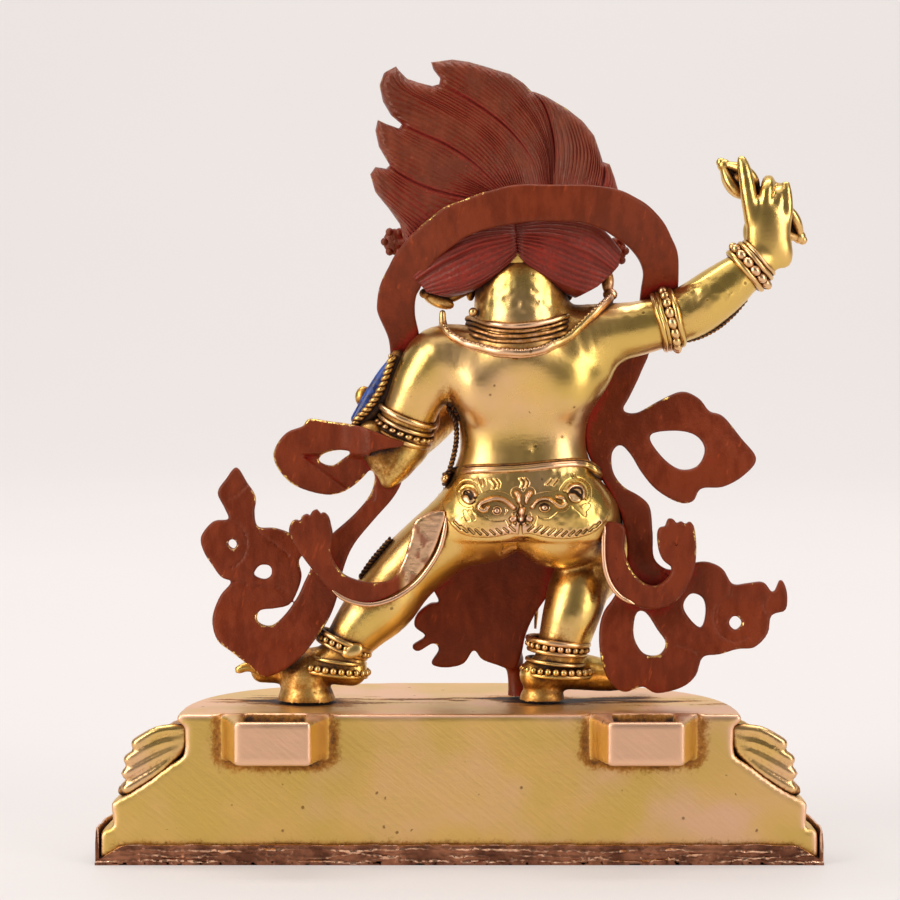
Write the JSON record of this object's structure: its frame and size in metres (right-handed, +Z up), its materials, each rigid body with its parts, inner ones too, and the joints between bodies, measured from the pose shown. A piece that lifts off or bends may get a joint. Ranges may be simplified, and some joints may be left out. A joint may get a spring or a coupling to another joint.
{
  "type": "gilt guardian deity statue",
  "caption": "Striding deity with a raised thunderbolt, upswept hair and a looping scarf, on a flat-backed lotus pedestal with rear sockets.",
  "frame": {"origin": "middle of the underside's bounding box, on the resting plane", "axes": "+Z up, -Y the way the deity faces, +X towards the deity's left hand, which is the left of its back view"},
  "size_m": [0.1252, 0.0654, 0.1383],
  "materials": {
    "gilt_copper": "satin gilding, rubbed, with brown patina in the recesses and red pigment on the backs of the hair and skin",
    "red_pigment": "matt brick-red paint with worn gilt edges",
    "sheet_copper": "dark crumpled copper sheet with bright ridges"
  },
  "bodies": {
    "root": {"sealing_sheet": "sheet_copper", "lotus_pedestal": "gilt_copper", "figure": "gilt_copper", "scarf_arch": "red_pigment", "scarf_left_fall": "red_pigment", "scarf_right_fall": "red_pigment"}
  },
  "joints": []
}
